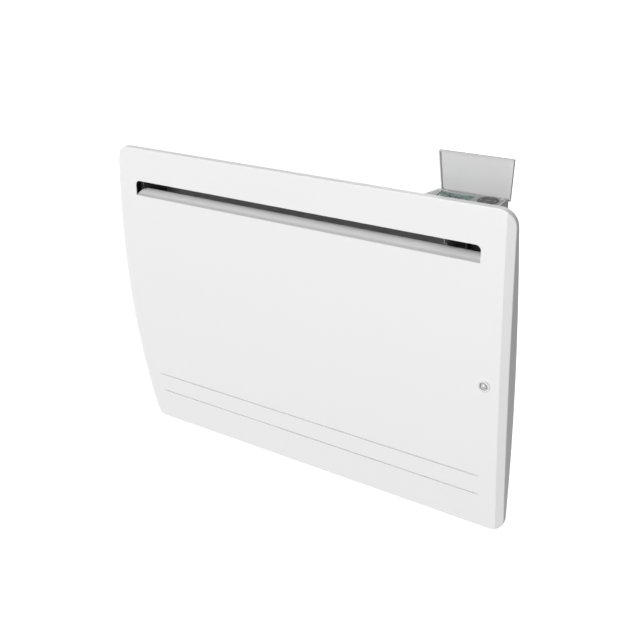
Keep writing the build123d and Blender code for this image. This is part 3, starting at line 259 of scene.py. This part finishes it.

# Painted shade darkens the body's inner faces: two boxes hold them and stop short of its outer
# bends. The third holds the front of its flange, inside the cover, with painted shade there too.
FLANGE_Y = -0.08
BODY_INSIDE_SHADE = [((-0.2715, -0.0795, -0.1915), (0.2715, -0.0205, 0.188), INSIDE_SHADE_TONE),
               ((-0.2715, -0.0795, -0.2), (0.2715, -0.029, 0.1966), INSIDE_SHADE_TONE),
               ((-0.302, FLANGE_Y - 0.00005, -0.223), (0.302, FLANGE_Y + 0.00005, 0.223), SHADED)]

# Painted shade on the inner face of the cover's rim, in two boxes that leave out the panel's round
# corners.
RIM_INSIDE_SHADE = [((-x, -0.0816, -z), (x, -0.0803, z), SHADED)
              for x, z in ((0.304, 0.2), (0.284, 0.222))]

# The two pressed grooves are painted a little darker than the face: painted shade in the grooves.
GROOVE_SHADE_TONE = 222
GROOVE_HALF = 0.0011
GROOVE_SHADE_ZONES = [((-0.2745, -0.12, z - GROOVE_HALF), (0.2745, -0.0755, z + GROOVE_HALF), GROOVE_SHADE_TONE)
           for z in (-0.1702, -0.1383)]

# The rolled lip has painted light where it runs back into the slot and painted shade at its nose.
LIP_BOX = ((-0.2702, -0.0985, 0.1603), (0.2674, -0.0735, 0.1665))
LIP_LIGHT_AND_SHADE = [(*LIP_BOX, 254, "Y", -0.091, -0.086), (*LIP_BOX, 208, "Y", -0.0915, -0.0945)]

# The flap's inner face has painted shade towards its hinge and painted light towards its free
# edge, and its top edge has painted shade. Its outer face stays plain.
LID_SKIN = 0.0012
LID_TOP = 0.2632
LID_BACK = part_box("control_flap")[1].y - LID_SKIN
LID_BOX = ((0.1, -0.1, 0.2), (0.3, LID_BACK, LID_TOP))
LID_LIGHT_AND_SHADE = [(*LID_BOX, 196, "Z", 0.238, 0.214), (*LID_BOX, 216, "Z", 0.238, 0.262),
             ((0.1, -0.1, LID_TOP), (0.3, 0, 0.264), 192)]

# The housing's top, a narrow strip round the fascia, has painted light, so it is lighter than its
# sides.
HOUSING_TOP_LIGHT = [((0.1, -0.1, 0.21435), (0.28, -0.02, 0.2147), 224)]


# ------------------------------------------------------------------ finishes
def enamel(tone, rough, **more):
    """Smooth paint on sheet steel."""
    return dict(colour=tone, rough=rough, grain=1500.0, cloud=6.0, **more)


def plastic(tone, **more):
    """Grey plastic with a fine moulded grain."""
    looks = dict(rough=0.5, spread=0.012, grain=2600.0, cloud=25.0, bump=0.14)
    return {"colour": tone, **looks, **more}


def bare_metal(colour, rough, **more):
    return dict(colour=colour, rough=rough, metal=1.0, **more)


def brushed(colour, rough):
    """Bare metal with its grain drawn out along X."""
    return bare_metal(colour, rough, stretch=(0.04, 1, 1), grain=1400.0, cloud=60.0, bump=0.12)


LOOKS = {
    # The cover's enamel carries painted shade in its grooves and on its rim's inner face, and painted
    # light and shade on its lip.
    "cover_enamel": enamel(243, 0.42, spread=0.006, bump=0.10, depth=0.00004, rough_spread=0.04,
                           zones=GROOVE_SHADE_ZONES + RIM_INSIDE_SHADE + LIP_LIGHT_AND_SHADE),
    # The body's enamel carries painted shade on its inner faces and its flange.
    "body_enamel": enamel(236, 0.48, spread=0.01, bump=0.12, depth=0.00005, rough_spread=0.05,
                          zones=BODY_INSIDE_SHADE),
    "galvanised": bare_metal((156, 160, 164), 0.38, spread=0.10, cloud=70.0,
                             flecks=(160.0, 0.6, 0.25, (205, 208, 212))),
    "bracket_zinc": bare_metal((151, 152, 154), 0.42, spread=0.07, cloud=50.0,
                               flecks=(120.0, 0.6, 0.22, (185, 187, 189))),
    "screw_steel": brushed((176, 176, 172), 0.3),
    "cast_alloy": bare_metal((158, 160, 163), 0.52, spread=0.08, grain=2200.0, cloud=120.0,
                             bump=0.3, depth=0.00006),
    "sheath_steel": bare_metal((116, 106, 96), 0.4, spread=0.14, cloud=30.0),
    "reflector_steel": dict(colour=172, rough=0.5, metal=0.6, spread=0.08, cloud=40.0),
    "dark_sheet": dict(colour=140, rough=0.6, spread=0.12, cloud=30.0),
    "grey_plastic": plastic(207),
    # Copies of the grey plastic: the housing's with painted light on its top, the flap's with painted
    # light and shade on its inner face and top edge.
    "housing_plastic_painted_light": plastic(207, specular=0.3, zones=HOUSING_TOP_LIGHT),
    "flap_plastic_painted_light_and_shade": plastic(210, specular=0.3, zones=LID_LIGHT_AND_SHADE),
    "fascia_grey": plastic(182, spread=0.015),
    "key_grey": plastic(98, rough=0.55, spread=0.03, cloud=60.0),
    "key_mark": dict(colour=172, rough=0.5, spread=0.03, cloud=400.0),
    "lcd_cell": dict(colour=(130, 152, 147), rough=0.35, spread=0.02, cloud=60.0, bump=0.02),
    "lcd_ink": dict(colour=(22, 34, 36), rough=0.4, spread=0.05, cloud=400.0),
    "ring_white": dict(colour=232, rough=0.36, spread=0.01, cloud=80.0),
    "lens_white": dict(colour=198, rough=0.26, spread=0.02, cloud=300.0, bump=0.0,
                       rough_spread=0.03, specular=1.0, coat=1.0),
    "latch_plastic": dict(colour=(224, 224, 222), rough=0.48, spread=0.015, cloud=70.0),
    "switch_black": dict(colour=30, rough=0.42, spread=0.08, cloud=90.0),
    "nylon_black": dict(colour=40, rough=0.5, spread=0.08, cloud=80.0),
    "lead_dark": dict(colour=44, rough=0.5, spread=0.06, cloud=80.0),
    "lead_silicone": dict(colour=(205, 202, 194), rough=0.5, spread=0.03, cloud=80.0),
    "ceramic": dict(colour=(232, 226, 214), rough=0.55, spread=0.03, cloud=90.0),
    "board_green": dict(colour=(36, 92, 58), rough=0.45, spread=0.08, cloud=260.0,
                        flecks=(420.0, 0.18, 0.9, (190, 170, 96))),
    "component_black": dict(colour=34, rough=0.5, spread=0.1, cloud=80.0),
    "component_blue": dict(colour=(42, 92, 150), rough=0.42, spread=0.05, cloud=80.0),
}
FINISHES = {name: surface(name, **looks) for name, looks in LOOKS.items()}
FINISHES["lcd_glass"] = window_glass("lcd_glass", (250, 253, 252), 0.35)

# Nodes that wear another finish than their slot's name says.
OWN_FINISH = {"control_housing": "housing_plastic_painted_light", "control_flap": "flap_plastic_painted_light_and_shade",
              "control_leads": "lead_dark"}


def dress_nodes():
    """Gives every material slot of every node its finish."""
    for name, node in NODES.items():
        for place in node.material_slots:
            finish = OWN_FINISH.get(name, place.material.name.split(".")[0])
            place.material = FINISHES[finish]


# ------------------------------------------------------------------ flat shapes, in millimetres
def ring(centre, outer, inner, steps=28):
    """A ring, as a strip of four-sided shapes."""
    turns = [2 * math.pi * k / steps for k in range(steps + 1)]
    edge = [(math.cos(t), math.sin(t)) for t in turns]
    return [[(centre[0] + r * c, centre[1] + r * s) for r, (c, s) in
             ((outer, a), (outer, b), (inner, b), (inner, a))] for a, b in zip(edge, edge[1:])]


def stroke(a, b, width):
    """A straight stroke with pointed ends."""
    a, b = Vector(a), Vector(b)
    run = (b - a).normalized()
    side = Vector((-run.y, run.x)) * width / 2
    tip = run * width / 2
    return [tuple(p) for p in (a, a + tip + side, b - tip + side, b, b - tip - side, a + tip - side)]


def bar(x0, y0, x1, y1):
    return [(x0, y0), (x1, y0), (x1, y1), (x0, y1)]


SEGMENT_ENDS = {"a": "tl tr", "b": "mr tr", "c": "br mr", "d": "bl br", "e": "bl ml",
                "f": "ml tl", "g": "ml mr"}
SEGMENTS = {"0": "abcdef", "1": "bc", "2": "abged", "3": "abgcd", "5": "afgcd", "8": "abcdefg",
            "C": "afed"}
FIGURE_WIDTH = 0.56         # of its height
FIGURE_SLANT = 0.08
SEGMENT_GAP = 0.12          # of its weight


def digit(sign, corner, height, weight):
    """A seven-segment figure that stands on its lower left corner."""
    wide = FIGURE_WIDTH * height
    spots = {"bl": (0, 0), "br": (wide, 0), "ml": (0, height / 2), "mr": (wide, height / 2),
             "tl": (0, height), "tr": (wide, height)}
    at = {k: (corner[0] + x + FIGURE_SLANT * y, corner[1] + y) for k, (x, y) in spots.items()}
    shapes = []
    for name in SEGMENTS[sign]:
        a, b = (Vector(at[k]) for k in SEGMENT_ENDS[name].split())
        gap = (b - a).normalized() * SEGMENT_GAP * weight
        shapes.append(stroke(a + gap, b - gap, weight))
    return shapes


# ------------------------------------------------------------------ pieces
INK_THICK = 0.06            # of the marks on the keys and the rocker, half of it sunk in them


def placed(name, mesh, body, finish):
    """The finished mesh as a piece that rides on a body."""
    data = bpy.data.meshes.new(name)
    mesh.to_mesh(data)
    mesh.free()
    piece = bpy.data.objects.new(name, data)
    bpy.context.scene.collection.objects.link(piece)
    data.materials.append(FINISHES[finish])
    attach(piece, body)
    return piece


def printed(name, shapes, body, finish, lift, thick=INK_THICK):
    """Flat shapes as thin solid ink. lift(u, v) gives the surface point and its outward normal."""
    mesh = bmesh.new()
    for shape in shapes:
        low, high = [], []
        for u, v in shape:
            point, normal = lift(u, v)
            low.append(mesh.verts.new((point - normal * thick / 2) * MM))
            high.append(mesh.verts.new((point + normal * thick / 2) * MM))
        mesh.faces.new(high)
        mesh.faces.new(low[::-1])
        for k in range(len(shape)):
            n = (k + 1) % len(shape)
            mesh.faces.new((low[k], low[n], high[n], high[k]))
    bmesh.ops.recalc_face_normals(mesh, faces=mesh.faces)
    placed(name, mesh, body, finish)


def level(x, y, z):
    """Lifts flat shapes onto a level face, with their own origin at (x, y)."""
    return lambda u, v: (Vector((x + u, y + v, z)), Vector((0, 0, 1)))


# ------------------------------------------------------------------ display
# Places and sizes are in millimetres, from the window's lower left corner.
PANE_GAP = 0.06             # between the cell and the window, with the ink midway in it
PANE_EDGE = 0.15
BIG_FIGURES = (("2", 9.4), ("0", 17.4), ("5", 26.8))
BIG_FOOT, BIG_HEIGHT, BIG_WEIGHT = 3.6, 11.2, 2.1
DECIMAL_POINT = bar(24.9, 2.6, 26.5, 4.2)
DEGREE_AT, DEGREE_OUTER, DEGREE_INNER = (36.6, 14.2), 1.1, 0.6
UNIT_AT, UNIT_HEIGHT, UNIT_WEIGHT = (38.2, 9.6), 5.2, 0.8
CLOCK_FIGURES = (("1", 2.6), ("8", 5.4), ("3", 10.2), ("0", 13.4))
CLOCK_FOOT, CLOCK_HEIGHT, CLOCK_WEIGHT = 17.4, 3.8, 0.55
CLOCK_COLON = [bar(8.9, 18.2, 9.4, 18.7), bar(9.1, 20.0, 9.6, 20.5)]
WARM_HOURS = (6, 7, 8, 17, 18, 19, 20, 21)
HOUR_LEFT, HOUR_PITCH, HOUR_WIDE, HOUR_FOOT = 3.0, 1.62, 1.2, 1.0
WARM_TALL, COOL_TALL = 1.5, 0.6
SUN_AT, SUN_OUTER, SUN_INNER = (40.6, 19.6), 1.3, 0.85
SUN_RAYS, RAY_START, RAY_END, RAY_WEIGHT = 8, 1.7, 2.5, 0.4


def temperature():
    """The room's temperature in large figures, to half a degree."""
    shapes = [DECIMAL_POINT] + ring(DEGREE_AT, DEGREE_OUTER, DEGREE_INNER, 14)
    shapes += digit("C", UNIT_AT, UNIT_HEIGHT, UNIT_WEIGHT)
    for sign, x in BIG_FIGURES:
        shapes += digit(sign, (x, BIG_FOOT), BIG_HEIGHT, BIG_WEIGHT)
    return shapes


def clock():
    shapes = list(CLOCK_COLON)
    for sign, x in CLOCK_FIGURES:
        shapes += digit(sign, (x, CLOCK_FOOT), CLOCK_HEIGHT, CLOCK_WEIGHT)
    return shapes


def programme():
    """A row of 24 bars for the hours of the day, taller where the heater keeps the room warm."""
    shapes = []
    for hour in range(24):
        x = HOUR_LEFT + HOUR_PITCH * hour
        tall = WARM_TALL if hour in WARM_HOURS else COOL_TALL
        shapes.append(bar(x, HOUR_FOOT, x + HOUR_WIDE, HOUR_FOOT + tall))
    return shapes


def sun():
    """The sign for the warm setting."""
    shapes = ring(SUN_AT, SUN_OUTER, SUN_INNER, 16)
    for k in range(SUN_RAYS):
        t = 2 * math.pi * k / SUN_RAYS
        ends = [(SUN_AT[0] + r * math.cos(t), SUN_AT[1] + r * math.sin(t))
                for r in (RAY_START, RAY_END)]
        shapes.append(stroke(*ends, RAY_WEIGHT))
    return shapes


def display_glass():
    """The display's window, with its edges eased and a hair's gap over the cell."""
    low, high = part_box("display_window")
    low.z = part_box("display_module")[1].z + PANE_GAP * MM
    mesh = bmesh.new()
    bmesh.ops.create_cube(mesh, size=1.0)
    for v in mesh.verts:
        v.co = Vector([(a + b) / 2 + (b - a) * c for a, b, c in zip(low, high, v.co)])
    bmesh.ops.bevel(mesh, geom=mesh.edges[:], offset=PANE_EDGE * MM, segments=2, affect="EDGES")
    glass = placed("display_glass", mesh, "body", "lcd_glass")
    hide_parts("display_window")


def display_ink():
    """What the display shows, in the gap between its cell and its window."""
    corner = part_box("display_window")[0] / MM
    cell_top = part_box("display_module")[1].z / MM
    shapes = temperature() + clock() + programme() + sun()
    printed("display_ink", shapes, "body", "lcd_ink",
            level(corner.x, corner.y, cell_top + PANE_GAP / 2), PANE_GAP / 2)


# ------------------------------------------------------------------ keys and switch
KEY_PAD = (249.6, -38.8)
KEY_TOP = 214.9
KEY_TURNS = {"up_key": 90, "left_key": 180, "down_key": 270, "right_key": 0}
ARROW_REACH = 9.3           # from the pad's centre
ARROW = ((1.3, 0), (-1.0, -1.9), (-1.0, 1.9))
LETTER_O = ((-2.0, 0), 1.6, 1.0, 20)
LETTER_K = (((0.6, -1.8), (0.6, 1.8)), ((0.7, 0), (2.9, 1.8)), ((1.0, 0.3), (3.0, -1.8)))
LETTER_WEIGHT = 0.6
ROCKER_RING = (1.7, 1.15)
ROCKER_STROKE = (0.6, 3.4)
ROCKER_CLEAR = 0.01         # metres in front of the rocker, where the rays towards it start


def key_marks():
    """An arrow on each key of the ring, and two letters on the centre key."""
    top = level(*KEY_PAD, KEY_TOP)
    for body, turn in KEY_TURNS.items():
        t = math.radians(turn)
        out, side = Vector((math.cos(t), math.sin(t))), Vector((-math.sin(t), math.cos(t)))
        arrow = [tuple(out * (ARROW_REACH + a) + side * b) for a, b in ARROW]
        printed(f"{body}_arrow", [arrow], body, "key_mark", top)
    letters = ring(*LETTER_O) + [stroke(a, b, LETTER_WEIGHT) for a, b in LETTER_K]
    printed("centre_key_letters", letters, "centre_key", "key_mark", top)


def rocker_marks():
    """The off ring and the on stroke, laid on the rocker's tilted halves."""
    rocker = NODES["switch_rocker"]
    skin = BVHTree.FromPolygons([v.co for v in rocker.data.vertices],
                                [p.vertices for p in rocker.data.polygons])
    low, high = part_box("switch_rocker")
    middle = (low + high) / 2

    def lift(u, v):
        start = Vector((high.x + ROCKER_CLEAR, middle.y + u * MM, middle.z + v * MM))
        point, normal, *_ = skin.ray_cast(start, Vector((-1, 0, 0)))
        return point / MM, normal

    quarter = (high.z - low.z) / 4 / MM
    wide, tall = (v / 2 for v in ROCKER_STROKE)
    shapes = ring((0, -quarter), *ROCKER_RING, 24) + [bar(-wide, quarter - tall, wide, quarter + tall)]
    printed("rocker_marks", shapes, "rocker", "key_mark", lift)


# ------------------------------------------------------------------ stage and light
WHITE = (1, 1, 1, 1)
AMBIENT = (0.06, 0.06, 0.06, 1)
FLOOR_Z = -0.95
FLOOR_SIZE = 60
FLOOR_GREYS = ((0.40, 0.40, 0.40, 1), (0.42, 0.42, 0.42, 1))
KEY_FROM = (-0.235, -0.875, 0.423)
SOFT = 30
# Towards the lamp, its strength, and the angle in degrees that it spans.
LAMPS = {"key": (KEY_FROM, 2.11, SOFT),
         "glint": (KEY_FROM, 0.13, 4),
         "fill": ((0.25, -0.933, 0.259), 0.5, SOFT),
         "top": ((0.0, 0.423, 0.906), 0.65, SOFT),
         "back": ((-0.253, 0.945, 0.208), 0.5, SOFT)}


def seen(make):
    """1 for what the camera sees directly, in a gloss or through glass."""
    path = make("ShaderNodeLightPath").outputs
    through = maths(make, "MAXIMUM", path["Is Camera Ray"], path["Is Glossy Ray"])
    return maths(make, "MAXIMUM", through, path["Is Transmission Ray"])


def make_world():
    """A dim studio that looks white."""
    world = bpy.data.worlds.new("studio")
    bpy.context.scene.world = world
    world.use_nodes = True
    world.node_tree.nodes.clear()
    make = node_maker(world.node_tree)
    light = make("ShaderNodeBackground", Color=AMBIENT)
    white = make("ShaderNodeBackground", Color=WHITE)
    make("ShaderNodeOutputWorld", Surface=blended(make, seen(make), light, white))


def make_floor():
    """A matt floor far below, which looks white from above and lets views from below through."""
    bpy.ops.mesh.primitive_plane_add(size=FLOOR_SIZE, location=(0, 0, FLOOR_Z))
    floor = bpy.context.object
    floor.name = "floor"
    material, make = blank_material("floor")
    noise = make("ShaderNodeTexNoise", Scale=3.0)
    matt = make("ShaderNodeBsdfDiffuse", Color=ramped(make, noise.outputs["Fac"], *FLOOR_GREYS))
    glow = make("ShaderNodeEmission", Color=WHITE, Strength=seen(make))
    both = make("ShaderNodeAddShader")
    put(both.inputs[0], matt.outputs[0])
    put(both.inputs[1], glow.outputs[0])
    gone = make("ShaderNodeBsdfTransparent")
    under = make("ShaderNodeNewGeometry").outputs["Backfacing"]
    make("ShaderNodeOutputMaterial", Surface=blended(make, under, both, gone))
    floor.data.materials.append(material)


def make_lamps():
    for name, (towards, strength, angle) in LAMPS.items():
        data = bpy.data.lights.new(name, "SUN")
        data.energy = strength
        data.angle = math.radians(angle)
        lamp = bpy.data.objects.new(name, data)
        bpy.context.scene.collection.objects.link(lamp)
        lamp.rotation_mode = "QUATERNION"
        lamp.rotation_quaternion = (-Vector(towards)).to_track_quat("-Z", "Y")


make_camera()
dress_nodes()
display_glass()
display_ink()
key_marks()
rocker_marks()
make_floor()
make_world()
make_lamps()

bpy.context.scene.view_settings.view_transform = "Standard"
